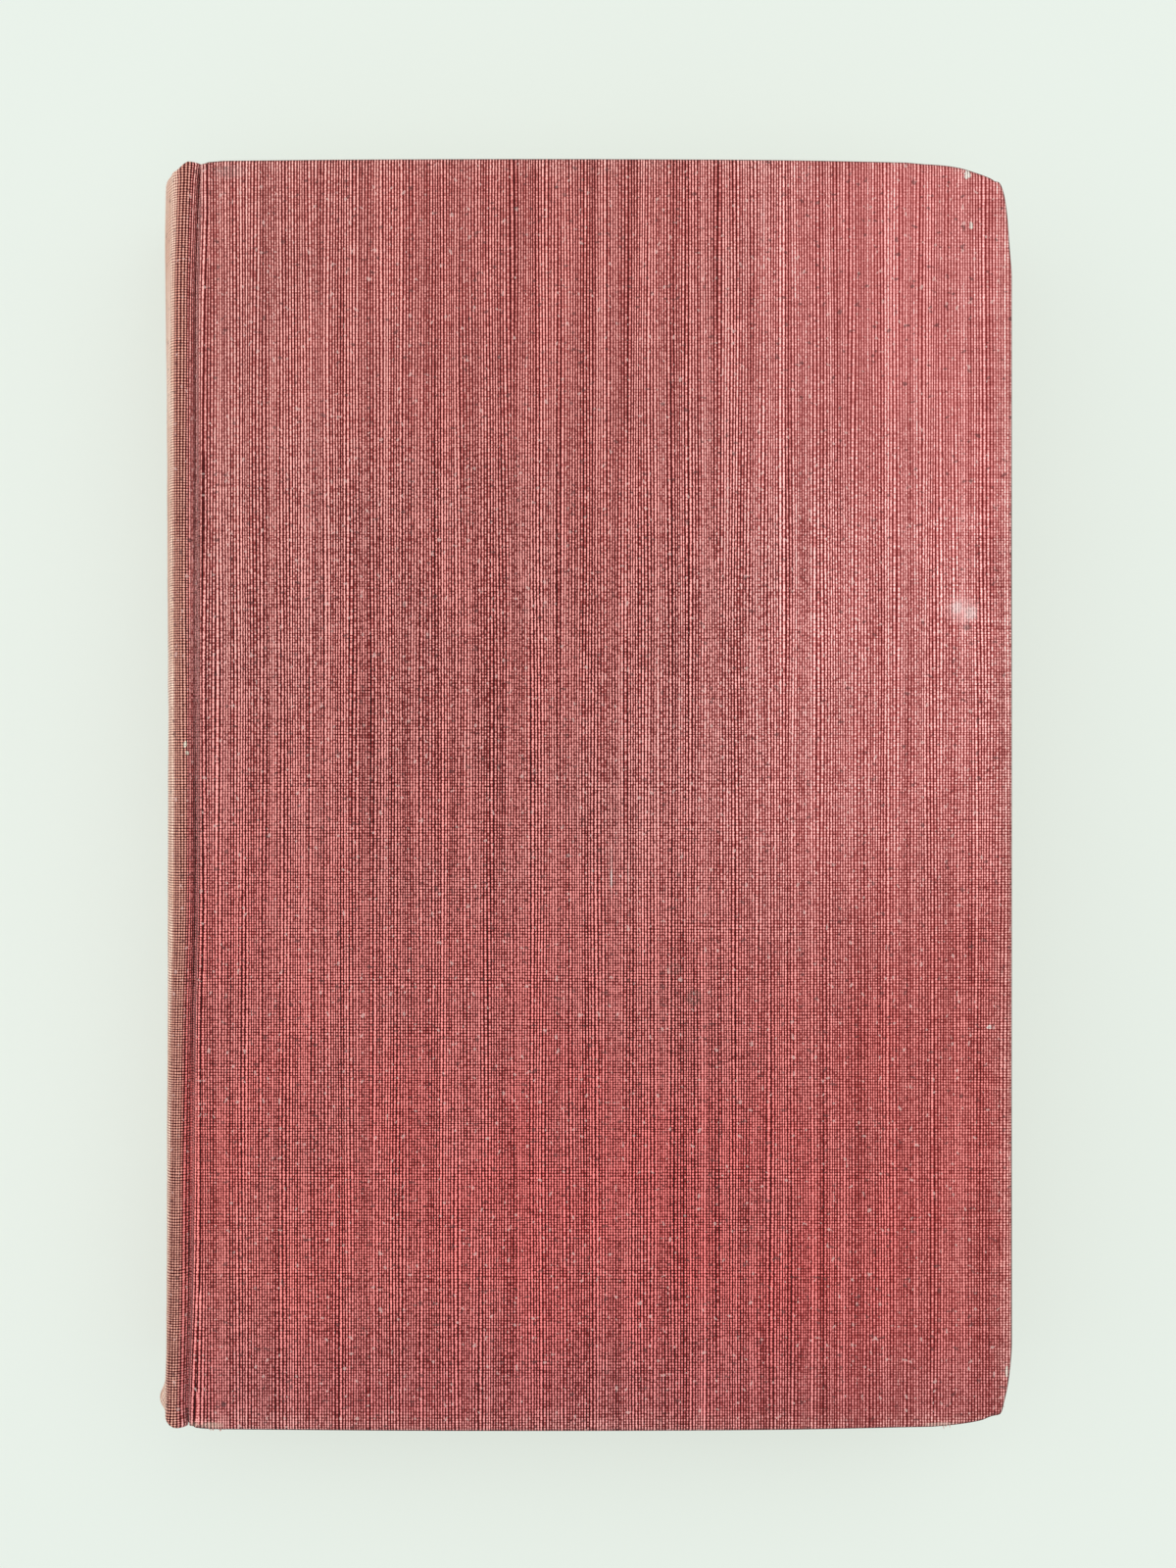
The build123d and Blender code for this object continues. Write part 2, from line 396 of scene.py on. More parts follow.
def clothCloud(spot, name, shift=None, rough=0.5):
    across, along, detail = clothNoise[name]
    return cloud(spot["place"], (across, along, 1), detail, shift or spot["far"], rough)


def broadColoursAndPaintedSheen(spot, fields):
    # painted sheen of the light from the head: upper half paler and greyer, upper right pink; tail more
    # red, out of that sheen
    u, v, height, low = spot["u"], spot["v"], spot["height"], spot["low"]
    right = fade(spot["sideways"], -2, 62)
    onLeft = fade(u, -15, -60, 0.0, 0.35)
    layers = (
        ("headPaintedSheen", fade(height, -25, 95)),
        ("headLeftPaintedSheen", times(fade(height, -10, 60), onLeft)),
        ("headRightPaintedSheen", times(fade(height, -50, 45), right)),
        ("tailRed", low),
        ("tailLeft", times(low, fade(u, 0, -60))),
        ("tailEdge", fade(v, -72, -96, 0.0, 0.6)),
    )
    colour = fields["mean"]
    for field, share in layers:
        colour = blendColour(share, colour, fields[field])
    patch = clothCloud(spot, "patch")
    dull = fade(patch, 0.3, 0.75, 0.0, 0.3)
    return blendColour(dull, colour, blendColour(0.5, colour, cloth["dull"]))


def rubAndBleach(spot, colour):
    # rubbed band along the edges
    u = spot["u"]
    fromFore = calc("SUBTRACT", 66.7, u)
    fromEnd = calc("SUBTRACT", 97.4, calc("ABSOLUTE", spot["v"]))
    ragged = clothCloud(spot, "rubbedEdge")
    fromRim = timesPlus(ragged, -3.0, calc("MINIMUM", fromFore, fromEnd))
    rubbed = times(fade(fromRim, 1.6, -1.6), fade(u, 40, 64, 0.15, 0.3))
    colour = blendColour(rubbed, colour, cloth["rubbed"])

    # sun-bleached spine, tan on its ridge and pale on its back, made paler still by painted light where its
    # curve turns away from the lamps
    mottle = fade(clothCloud(spot, "mottle"), 0.28, 0.72)
    bleachedAndPaintedLight = blendColour(mottle, cloth["bleachedAndPaintedLight"], cloth["bleachedPaleAndPaintedLight"])
    crest = blendColour(fade(spot["sunFade"], 0.15, 0.5), colour, cloth["crest"])
    return blendColour(fade(spot["sunFade"], 0.5, 1.0), crest, bleachedAndPaintedLight)


def weaveThreads(spot):
    # plain weave: light thread tops over dark gaps, the painted light and shade of the threads' relief.
    # across and along count the threads
    drift = times(clothCloud(spot, "drift"), 2.0)
    driftLong = times(clothCloud(spot, "driftLong"), 1.4)
    across = timesPlus(spot["u"], 1 / cloth["warpStep"], drift)
    along = timesPlus(spot["v"], 1 / cloth["weftStep"], driftLong)
    waveX = calc("SINE", times(across, math.pi))
    waveY = calc("SINE", times(along, math.pi))
    domeX = calc("ABSOLUTE", waveX)
    domeY = calc("ABSOLUTE", waveY)
    over = fade(times(waveX, waveY), -0.3, 0.3, 0.6, 1.0)
    bead = timesPlus(domeY, 0.35, 0.65)
    relief = times(times(domeX, bead), over)
    return {
        "across": across, "along": along, "domeX": domeX, "domeY": domeY, "over": over, "relief": relief,
    }


def threadTones(spot, threads):
    # every thread has its own tone, each length of it another, and fibres break it up
    u, v, low = spot["u"], spot["v"], spot["low"]
    across, along = threads["across"], threads["along"]
    threadNumber = calc("FLOOR", across)
    threadTone = chance(threadNumber, spot["seed"])
    lengths = timesPlus(v, 1 / cloth["slubLength"], times(threadTone, 37.0))
    slubTone = chance(threadNumber, calc("FLOOR", lengths))
    fibreX = calc("FLOOR", times(across, cloth["fibresAcross"]))
    fibreY = calc("FLOOR", times(along, cloth["fibresAlong"]))
    fibreTone = chance(fibreX, fibreY)
    picksAlong = cloth["weftStep"] / cloth["pickStep"]
    pickRow = calc("FLOOR", times(along, picksAlong))
    pickTone = chance(pickRow, calc("FLOOR", times(u, 0.7)))
    lines = timesPlus(u, 0.14, times(pickRow, 0.618))
    lineTone = chance(calc("FLOOR", lines), pickRow)
    run = clothCloud(spot, "run")

    # the weft shows more in the lower half, on the spine and along the fore-edge
    foreEdge = fade(u, 53, 65)
    aboveTail = fade(spot["height"], -95, -60, 0.5, 1.0)
    lowerHalf = times(fade(spot["height"], 45, -25), aboveTail)
    weftShare = timesPlus(lowerHalf, cloth["weftLow"], cloth["weftShare"])
    onSpine = fade(spot["sunFade"], 0.0, 0.4)
    weftShare = timesPlus(onSpine, cloth["weftSpine"], weftShare)
    weftShare = timesPlus(foreEdge, cloth["weftFore"], weftShare)
    pickShare = timesPlus(low, 0.1, 0.35)
    lineShare = timesPlus(foreEdge, 0.8, timesPlus(low, 0.2, 0.25))
    fibreShare = timesPlus(spot["middle"], cloth["fibreMiddle"], cloth["fibreShare"])

    # each term: what varies, its mean, and its share of the tone
    # domeX, domeY and over paint light on the thread tops and shade in the gaps; the other terms are the
    # yarn's own tones
    terms = (
        (threads["domeX"], 0.64, cloth["warpShare"]),
        (threads["domeY"], 0.64, weftShare),
        (threads["over"], 0.8, cloth["overShare"]),
        (threadTone, 0.5, cloth["threadShare"]),
        (slubTone, 0.5, cloth["slubShare"]),
        (fibreTone, 0.5, fibreShare),
        (pickTone, 0.5, pickShare),
        (lineTone, 0.5, lineShare),
        (run, 0.5, cloth["runShare"]),
    )
    tone = 0.0
    for part, mean, share in terms:
        tone = timesPlus(calc("SUBTRACT", part, mean), share, tone)
    return tone, fibreTone


def evenOutTone(spot, threads, tone):
    # less contrast towards the fore-edge and on the spine, where dark holes show instead
    sun = spot["sunFade"]
    contrast = fade(spot["sideways"], 14, 50, 1.0, cloth["foreContrast"])
    inMiddle = timesPlus(spot["middle"], cloth["middleContrast"], 1.0)
    contrast = times(contrast, inMiddle)
    contrast = times(contrast, fade(sun, 0.0, 1.0, 1.0, cloth["spineContrast"]))
    lift = timesPlus(contrast, -1.5, 1.5 + cloth["lift"])
    gapX, gapY = [calc("SUBTRACT", 1.0, threads[dome]) for dome in ("domeX", "domeY")]
    onCrest = times(fade(sun, 0.05, 0.35), fade(sun, 1.0, 0.5, 0.5, 1.0))
    holes = times(times(gapX, gapY), onCrest)
    lift = timesPlus(holes, -cloth["holeShare"], lift)
    lift = timesPlus(fade(sun, 0.6, 1.0), cloth["sunLift"], lift)
    top = fade(sun, 0.0, 0.6, cloth["brightest"], cloth["spineBrightest"])
    return calc("MINIMUM", timesPlus(tone, contrast, lift), top)


def colourByTone(colour, tone):
    # the tone makes the colour lighter or darker, each channel by its own share
    deep = calc("MINIMUM", tone, 0.0)
    stronger = put(treeOf(tone), "CombineXYZ")
    for socket, share, deepShare in zip(stronger.inputs, cloth["toneShares"], cloth["deepShares"]):
        swing = timesPlus(deep, deepShare, times(tone, share))
        feed(socket, calc("EXPONENT", swing))
    colour = blendColour(1.0, colour, cloth["balance"], "MULTIPLY")
    return blendColour(1.0, colour, stronger.outputs[0], "MULTIPLY")


def layFlecks(spot, colour):
    # flecks of pale lint and dark dirt
    fleck = clothCloud(spot, "lint", (spot["seed"] + 31, 7, 0))
    speck = clothCloud(spot, "dirt", (spot["seed"] + 57, 3, 0))
    colour = blendColour(fade(fleck, 0.72, 0.8, 0, 0.55), colour, cloth["lint"])
    return blendColour(fade(speck, 0.7, 0.78, 0, 0.6), colour, cloth["dirt"])


def layMarks(spot, marks, colour, tone):
    # a mark's reach is 0 in its middle and about 1 at its edge, which noise makes ragged
    tree = treeOf(spot["place"])
    ragged = clothCloud(spot, "markEdge", rough=0.6)
    showThrough = fade(tone, -2.2, 1.0, 0.35, 1.15)
    for (x, y), (wide, high), markTint, strength, kind in marks:
        around = put(tree, "Mapping")
        feed(around.inputs["Vector"], spot["place"])
        around.inputs["Location"].default_value = (-x / wide, -y / high, 0)
        around.inputs["Scale"].default_value = (1 / wide, 1 / high, 1)
        distance = put(tree, "VectorMath", operation="LENGTH")
        feed(distance.inputs[0], around.outputs[0])
        reach = timesPlus(ragged, 1.1, distance.outputs["Value"])
        outer, inner = (1.6, 1.4) if kind == "crisp" else (1.85, 1.1)
        share = fade(reach, outer, inner, 0, strength)
        if kind == "ring":
            share = times(share, fade(reach, 0.8, 1.25, 0.25, 1.0))
        markColour = blendColour(1.0, markTint, showThrough, "MULTIPLY")
        colour = blendColour(share, colour, markColour)
    return colour


def makeClothFinish(name, fields, marks, seed):
    finish, tree, shader = newFinish(name, 0.86, 0.22)
    shader.inputs["Sheen Weight"].default_value = 0.12
    shader.inputs["Sheen Roughness"].default_value = 0.5
    spot = clothPlace(tree, seed)
    threads = weaveThreads(spot)
    tone, fibreTone = threadTones(spot, threads)
    tone = evenOutTone(spot, threads, tone)
    colour = broadColoursAndPaintedSheen(spot, fields)
    colour = rubAndBleach(spot, colour)
    colour = colourByTone(colour, tone)
    colour = layFlecks(spot, colour)
    colour = layMarks(spot, marks, colour, tone)

    # pale dust and painted light in the grooves, lifting their shade, and painted shade along the rims
    # where the cloth turns down
    speckle = fade(fibreTone, 0.1, 0.8, 0.25, 1.0)
    dustAndPaintedLight = times(spot["grooveDustAndPaintedLight"], speckle, clamp=True)
    for share, cast in ((dustAndPaintedLight, cloth["grooveDustAndPaintedLight"]), (spot["paintedRimShadeMask"], cloth["paintedRimShade"])):
        colour = blendColour(share, colour, blendColour(1.0, colour, cast, "MULTIPLY"))
    feed(shader.inputs["Base Color"], colour)
    light = fade(tone, -2.0, 2.0)
    feed(shader.inputs["Roughness"], timesPlus(light, -0.12, 0.92))
    bumpFrom(shader, threads["relief"], cloth["relief"], 0.6)
    return finish


# paper, board and card

paper = {
    "toneScale": (18, 18, 60),  # patterns for each metre, on the object's own coordinates
    "fibreScale": 150,
    "spotScale": (95, 95, 160),
    "leafScale": (22, 22, 8500),
    "groupScale": (6, 6, 700),
    "spot": tint(176, 138, 96),
    # painted shade in the gaps between the leaves
    "paintedLeafGapShade": tint(128, 104, 76),
}


def makePaperFinish(name, light, dark, seed, leafLines=0.0, foxing=0.4, fibre=6.0):
    finish, tree, shader = newFinish(name, 0.8, 0.25)
    place = put(tree, "TexCoord").outputs["Object"]
    far = (seed, seed * 1.3, seed * 0.4)
    tone = cloud(place, paper["toneScale"], 4, far)
    fibres = cloud(place, [fibre * paper["fibreScale"]] * 3, 3, far)
    colour = blendColour(fade(tone, 0.3, 0.72), light, dark)
    colour = blendColour(fade(fibres, 0.35, 0.75, 0, 0.25), colour, dark)
    spots = cloud(place, paper["spotScale"], 3, (seed + 9, 4, 2))
    colour = blendColour(fade(spots, 0.66, 0.78, 0, foxing), colour, paper["spot"])
    height = fibres
    if leafLines:
        # dark lines between the leaves and their groups are painted shade
        leaves = cloud(place, paper["leafScale"], 3, far, 0.7)
        groups = cloud(place, paper["groupScale"], 2, far)
        lines = timesPlus(groups, 0.5, leaves)
        colour = blendColour(fade(lines, 0.85, 0.5, 0, leafLines), colour, paper["paintedLeafGapShade"])
        height = timesPlus(leaves, 2.0, fibres)
    feed(shader.inputs["Base Color"], colour)
    feed(shader.inputs["Roughness"], fade(fibres, 0.3, 0.7, 0.72, 0.88))
    bumpFrom(shader, height, 0.05, 0.5)
    return finish


mull = {
    "steps": (1.1, 1.0, 1.1),  # from strand to strand along each axis, in mm
    "gap": tint(150, 128, 96),
    "strand": tint(214, 200, 168),
    "glue": tint(168, 132, 84),
}


def makeMullFinish():
    # open starched cloth, coarse and pale
    finish, tree, shader = newFinish("mullGauze", 0.9, 0.15)
    place = put(tree, "TexCoord").outputs["Object"]
    split = put(tree, "SeparateXYZ")
    feed(split.inputs[0], place)
    lines = []
    for axis, step in enumerate(mull["steps"]):
        wave = calc("SINE", times(split.outputs[axis], math.pi / (step * mm)))
        lines.append(calc("POWER", calc("ABSOLUTE", wave), 2.0))
    strands = calc("MAXIMUM", calc("MINIMUM", lines[0], lines[2]), lines[1])
    glue = cloud(place, (220, 220, 220), 3)
    colour = blendColour(strands, mull["gap"], mull["strand"])
    colour = blendColour(fade(glue, 0.4, 0.7, 0, 0.5), colour, mull["glue"])
    feed(shader.inputs["Base Color"], colour)
    bumpFrom(shader, strands, 0.12, 0.7)
    return finish


finishes = {
    "frontCloth": makeClothFinish("frontBookCloth", frontFields, frontMarks, 12.0),
    "backCloth": makeClothFinish("backBookCloth", backFields, backMarks, 83.0),
    "pages": makePaperFinish("pageEdges", tint(214, 198, 166), tint(186, 162, 122), 3.0, 0.55, 0.5),
    "endpaper": makePaperFinish("endpaperStock", tint(226, 216, 192), tint(206, 190, 156), 11.0, 0.0, 0.6),
    "lining": makePaperFinish("liningPaper", tint(176, 150, 112), tint(148, 120, 84), 17.0, 0.0, 0.2),
    "board": makePaperFinish("bookBoard", tint(158, 146, 126), tint(120, 106, 86), 23.0, 0.0, 0.2, 2.5),
    "card": makePaperFinish("spineCard", tint(170, 154, 126), tint(140, 122, 94), 29.0, 0.0, 0.2, 3.0),
    "thread": makePaperFinish("looseThread", tint(232, 206, 194), tint(198, 140, 130), 37.0, 0.0, 0.0, 8.0),
    "mull": makeMullFinish(),
}
print("finishes made:", len(finishes))


# covers

cover = {
    "left": -58.4,
    "right": 67.12,
    "half": 98.0,
    "inside": 28.6,  # underside of the turned-in cloth
    "face": 32.0,
    "rim": 0.75,
    "turnIn": 15.0,
    "wall": 0.36,
    "boardInset": 0.4,
    "dome": 0.3,  # the board stands a little proud in its middle
    "domeHalf": 63.0,
    "swell": 0.1,  # slow unevenness of the face
    "swellScale": 0.03,
    "jointReach": -38.0,  # how far in the wander of the joint is felt
    "jointMost": 0.35,  # the board's edge follows it only this far
    "columns": 83,
    "rows": 129,
}
# Worn corners: how far the wear reaches along both edges, and what is left of the square
# corner in each direction, from along the fore-edge (0) to along the head or tail (90 degrees)
frontWear = {
    (1, 1): (16.0, [
        (0, 0.996), (7.6, 0.985), (15, 0.975), (28.6, 0.955), (37, 0.928), (41.6, 0.898), (43.2, 0.879),
        (44.3, 0.858), (45.2, 0.845), (47.9, 0.869), (52.7, 0.904), (62.4, 0.958), (72.3, 0.981),
        (83, 0.989), (90, 1.0),
    ]),
    (1, -1): (12.0, [
        (0, 1.0), (14, 0.98), (28, 0.945), (35, 0.915), (41, 0.885), (45, 0.865), (50, 0.88), (57, 0.93),
        (70, 0.97), (90, 1.0),
    ]),
    (-1, 1): (3.4, [(0, 1.0), (30, 0.985), (45, 0.93), (60, 0.955), (90, 1.0)]),
    (-1, -1): (3.6, [(0, 1.0), (30, 0.985), (45, 0.94), (60, 0.97), (90, 1.0)]),
}
backWear = {
    (1, 1): (9.0, [(0, 1.0), (25, 0.97), (45, 0.86), (65, 0.96), (90, 1.0)]),
    (1, -1): (9.0, [(0, 1.0), (25, 0.97), (45, 0.84), (65, 0.97), (90, 1.0)]),
    (-1, 1): (5.0, [(0, 1.0), (45, 0.95), (90, 1.0)]),
    (-1, -1): (5.0, [(0, 1.0), (45, 0.95), (90, 1.0)]),
}
# The joint wanders: sideways shift of groove and ridge, from tail to head
jointPath = [
    (-98, -1.35), (-92, -1.25), (-76, -0.85), (-50, -0.6), (-36, -0.45), (-15, 0.0), (75, 0.0), (88, 0.3),
    (98, 0.75),
]
# The boards are a little narrower towards their sides than across their middle
boardBow = [(-58.4, 1.0), (-30, 1.0025), (0, 1.003), (30, 1.0015), (50, 0.9975), (67.2, 0.9935)]


def jointShift(y):
    return readTable(jointPath, y)


def wornCorner(x, y, wear):
    middle = (cover["left"] + cover["right"]) / 2
    sideX = 1 if x > middle else -1
    sideY = 1 if y > 0 else -1
    reach, shares = wear[(sideX, sideY)]
    edge = cover["right"] if sideX > 0 else cover["left"]
    p = 1 - abs(edge - x) / reach
    q = 1 - (cover["half"] - abs(y)) / reach
    if p <= 0 or q <= 0:
        return x, y
    keep = readTable(shares, math.degrees(math.atan2(q, p)))
    keep = mix(1.0, keep, soft(max(p, q), 0.0, 1.0))
    return edge - sideX * reach * (1 - p * keep), sideY * (cover["half"] - reach * (1 - q * keep))


def crowd(value, low, high):
    # brings the grid lines together towards both edges, and leaves the rounded rims alone
    rim = cover["rim"]
    share = (value - low - rim) / (high - low - 2 * rim)
    if share <= 0 or share >= 1:
        return value
    share = mix(share, 0.5 - 0.5 * math.cos(math.pi * share), 0.7)
    return low + rim + share * (high - low - 2 * rim)


def coverPoint(co, front):
    # from the plain slab to the worn cover, front is False for the back cover
    left, right, half = cover["left"], cover["right"], cover["half"]
    x = crowd(co.x, left, right)
    y = crowd(co.y, -half, half)
    z = co.z
    x, y = wornCorner(x, y, frontWear if front else backWear)
    y *= readTable(boardBow, x)
    if front:
        shift = min(jointShift(y), cover["jointMost"])
        inside = cover["inside"]
        x += shift * soft(z, inside, inside + 2.0) * (1 - soft(x, left, cover["jointReach"]))
    across = (x - (left + right) / 2) / cover["domeHalf"]
    place = Vector((x * cover["swellScale"], y * cover["swellScale"], 3.0 if front else 9.0))
    z += cover["swell"] * noise.noise(place)
    if front:
        z += cover["dome"] * max(0, 1 - across * across) * max(0, 1 - (y / half) ** 2)
    else:
        z = min(z, cover["face"])  # the back lies flat
    return Vector((x, y, sideUp(z, front)))


def coverSlab(cutsX, cutsY):
    bm = unitBox(cutsX, cutsY, 0)
    wide = cover["right"] - cover["left"]
    thick = cover["face"] - cover["inside"]
    bmesh.ops.scale(bm, vec=(wide, 2 * cover["half"], thick), verts=bm.verts)
    corner = (cover["left"], -cover["half"], cover["inside"])
    bmesh.ops.translate(bm, vec=corner, verts=bm.verts)
    return bm


def wrapMap(front):
    # the cloth unfolded from the face of a cover down over its edges
    def flat(face, co):
        normal = face.normal
        depth = abs(sideUp(cover["face"], front) - co.z)
        if abs(normal.z) > 0.5:
            return co.x, co.y
        if abs(normal.x) > abs(normal.y):
            return co.x + math.copysign(depth, normal.x), co.y
        return co.x, co.y + math.copysign(depth, normal.y)
    return flat


def makeCoverCloth(half):
    front = half == "front"
    body, node = half + "_cover", half + "_cloth"
    bm = coverSlab(cover["columns"], cover["rows"])
    faceOut(bm)
    rims = [e for e in bm.edges if e.calc_face_angle(0) > math.radians(60)]
    bmesh.ops.bevel(
        bm, geom=rims, offset=cover["rim"], affect="EDGES", segments=3,
        profile=0.5, material=-1, clamp_overlap=False, offset_type="OFFSET",
    )
    for vert in bm.verts:
        vert.co = coverPoint(vert.co, front)
    faceOut(bm)
    windowRight = cover["right"] - cover["turnIn"]
    windowHalf = cover["half"] - cover["turnIn"]
    inward = -1 if front else 1
    window = []
    for face in bm.faces:
        middle = face.calc_center_median()
        if face.normal.z * inward > 0.9 and middle.x < windowRight and abs(middle.y) < windowHalf:
            window.append(face)
    bmesh.ops.delete(bm, geom=window, context="FACES")
    layWeave(bm, wrapMap(front))
    # painted shade: the cloth is darkened along its rims, by how far its normal tilts away from straight up
    paintedRimShadeMask = bm.verts.layers.float.new("paintedRimShadeMask")
    for vert in bm.verts:
        tilt = 1 - abs(vert.normal.z)
        vert[paintedRimShadeMask] = soft(tilt, 0.06, 0.5) * (1 - 0.8 * soft(tilt, 0.6, 0.95))
    piece = makePiece(half + "CoverCloth", bm, finishes[half + "Cloth"])
    thicken(piece, cover["wall"])
    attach(piece, body)
    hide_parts(node)


def makeBoard(half):
    # the pulp board inside, which follows the worn shape of its cloth
    front = half == "front"
    body, node = half + "_cover", half + "_board"
    bm = coverSlab(60, 90)
    inset = cover["boardInset"]
    middleX = (cover["left"] + cover["right"]) / 2
    halfWide = (cover["right"] - cover["left"]) / 2
    middleOfBoard = (cover["inside"] + cover["face"]) / 2 - middleZ
    for vert in bm.verts:
        point = coverPoint(vert.co, front)
        x = middleX + (point.x - middleX) * (halfWide - inset) / halfWide
        y = point.y * (cover["half"] - inset) / cover["half"]
        height = abs(point.z - middleZ)  # from the middle of the book outwards
        height += -inset if height > middleOfBoard else inset
        vert.co = Vector((x, y, middleZ + (height if front else -height)))
    faceOut(bm)
    piece = makePiece(half + "Board", bm, finishes["board"], 30)
    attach(piece, body)
    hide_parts(node)


# Threads that stick out where the cloth is worn through: place, the way they lie, how many
frayedSpots = [
    {"at": (-56.2, -97.6, 31.4), "way": 265, "spread": 3.4, "count": 14, "longest": 0.9},
    {"at": (58.6, -96.7, 31.3), "way": 285, "spread": 5.0, "count": 16, "longest": 0.95},
    {"at": (64.9, -94.4, 31.0), "way": 320, "spread": 0.9, "count": 8, "longest": 1.3},
    {"at": (60.2, 96.0, 31.3), "way": 60, "spread": 0.8, "count": 4, "longest": 0.6},
    {"at": (-57.4, 97.6, 31.2), "way": 100, "spread": 1.4, "count": 4, "longest": 0.5},
]


fray = {
    "thick": 0.13,  # radius of a thread at its root and at its tip, in mm
    "thin": 0.05,
    "fan": 0.9,
    "droop": -0.1,
    "rise": 0.35,
    "sunk": 0.15,
}


def makeFrayedEnds():
    rng = random.Random(21)
    bm = bmesh.new()
    fan = fray["fan"]
    for spot in frayedSpots:
        base = Vector(spot["at"])
        heading = math.radians(spot["way"])
        outward = Vector((math.cos(heading), math.sin(heading), 0))
        sideways = Vector((-outward.y, outward.x, 0))
        for k in range(spot["count"]):
            length = spot["longest"] * rng.uniform(0.5, 1.0)
            made = bmesh.ops.create_cone(
                bm, cap_ends=True, segments=5, depth=length,
                radius1=fray["thick"], radius2=fray["thin"],
            )
            way = outward + sideways * rng.uniform(-fan, fan)
            way += Vector((0, 0, rng.uniform(fray["droop"], fray["rise"])))
            way.normalize()
            start = base + sideways * spot["spread"] * rng.uniform(-0.5, 0.5)
            turn = way.to_track_quat("Z", "Y").to_matrix()
            bmesh.ops.rotate(bm, verts=made["verts"], cent=(0, 0, 0), matrix=turn)
            bmesh.ops.translate(bm, verts=made["verts"], vec=start + way * (length / 2 - fray["sunk"]))
    faceOut(bm)
    piece = makePiece("frayedThreads", bm, finishes["thread"])
    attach(piece, "front_cover")


makeFrayedEnds()
for make in (makeBoard, makeCoverCloth):
    for half in ("front", "back"):
        make(half)
print("covers made")


# spine of the case

spine = {
    "jointX": -58.7,
    "ridge": (-61.3, 29.4),
    "ridgeRadius": 2.0,
    "wallLean": 25.0,
    "wallLength": 0.45,
    "end": 97.95,
    "dipHead": (1.25, 0.06, 0.11),  # how far the worn caps dip between the ridges, and where
    "dipTail": (1.6, 0.05, 0.13),
    "rollInlay": 0.8,  # half the thickness of the folded cloth with the card in it
    "rollRidge": 0.5,
    "turnIn": 15.0,
    "turnInRidge": 2.3,
    "wall": 0.34,
    "meanReach": 7.2,
    "ridgeShares": (0.125, 0.19),  # along the spine's arc, where the ridge's turn-in becomes the back's
    "beadShares": (0.10, 0.17),
    "bead": 0.28,  # the caps bulge over the ridges
    "beadRows": (95.2, 97.2),
    "rollStart": 0.8,  # along the sheet, where the fold at the cap starts and ends
    "rollEnd": 0.92,
    "dent": 0.10,
    "fineDent": 0.05,
    # bleaching of the ridge and of the back: how strong, and how far out it starts and is full
    "sunBands": [(0.42, 59.6, 61.0), (0.58, 62.0, 62.8)],
    # where the groove's pale dust and painted light fade out, from the joint outwards
    "dustAndPaintedLight": (59.2, 60.1),
    "cardInset": 0.42,
    "cardThick": 0.72,
    "cardShares": (0.13, 0.87),
    "cardEnd": 97.4,
}
# How far the back of the spine stands from the joint line, from tail to head
spineReach = [
    (-98, 8.4), (-97, 8.6), (-96.2, 8.45), (-95.2, 8.0), (-94, 7.5), (-92.5, 7.2), (-80, 6.95),
    (-50, 6.75), (0, 6.6), (40, 6.75), (62, 6.95), (76, 7.2), (85, 7.35), (92, 7.3), (96, 7.15), (98, 6.95),
]


def spineOutline(share, reach, inset):
    # a point of the rounded back, from the front groove (0) to the back groove (1)
    fromFront = share <= 0.5
    t = share if fromFront else 1 - share
    ridgeX, ridgeZ = spine["ridge"]
    radius = spine["ridgeRadius"]
    rise = ridgeX - spine["jointX"] + reach
    half = ridgeZ - middleZ
    backRadius = (rise**2 + half**2 - radius**2) / (2 * (rise - radius))
    centreX = spine["jointX"] - reach + backRadius
    start = math.radians(spine["wallLean"])
    tangent = math.atan2(half, ridgeX - centreX)
    parts = [spine["wallLength"], radius * (tangent - start), backRadius * (math.pi - tangent)]
    length = t * 2 * sum(parts)
    if length < parts[0]:
        drop = parts[0] - length
        x = ridgeX + math.cos(start) * (radius - inset) + math.sin(start) * drop
        z = ridgeZ + math.sin(start) * (radius - inset) - math.cos(start) * drop
    elif length < parts[0] + parts[1]:
        angle = start + (length - parts[0]) / radius
        x = ridgeX + math.cos(angle) * (radius - inset)
        z = ridgeZ + math.sin(angle) * (radius - inset)
    else:
        angle = tangent + (length - parts[0] - parts[1]) / backRadius
        x = centreX + math.cos(angle) * (backRadius - inset)
        z = middleZ + math.sin(angle) * (backRadius - inset)
    return x, sideUp(z, fromFront), length


def spineCoordinates(share, row, inset):
    # place on the spine at one row (y in mm), with the wander of the front joint
    x, z, length = spineOutline(share, readTable(spineReach, row), inset)
    if z > middleZ:
        x += jointShift(row) * soft(x, -65.2, -61.5)
    return x, z, length


def capDip(share, side):
    depth, start, end = spine["dipHead" if side > 0 else "dipTail"]
    return depth * soft(min(share, 1 - share), start, end)


def spineRow(share, along):
    # along runs over the sheet: turn-in at the tail, outside, turn-in at the head
    onRidge = 1 - soft(min(share, 1 - share), *spine["ridgeShares"])
    roll = mix(spine["rollInlay"], spine["rollRidge"], onRidge)
    turn = mix(spine["turnIn"], spine["turnInRidge"], onRidge)
    side = -1 if along < 0.5 else 1
    t = abs(along - 0.5) * 2
    straight = spine["end"] - roll - capDip(share, side)
    rollStart, rollEnd = spine["rollStart"], spine["rollEnd"]
    if t < rollStart:
        return side * straight * t / rollStart, 0.0
    if t < rollEnd:
        angle = math.pi * (t - rollStart) / (rollEnd - rollStart)
        return side * (straight + roll * math.sin(angle)), roll * (1 - math.cos(angle))
    return side * (straight - (turn - roll) * (t - rollEnd) / (1 - rollEnd)), 2 * roll


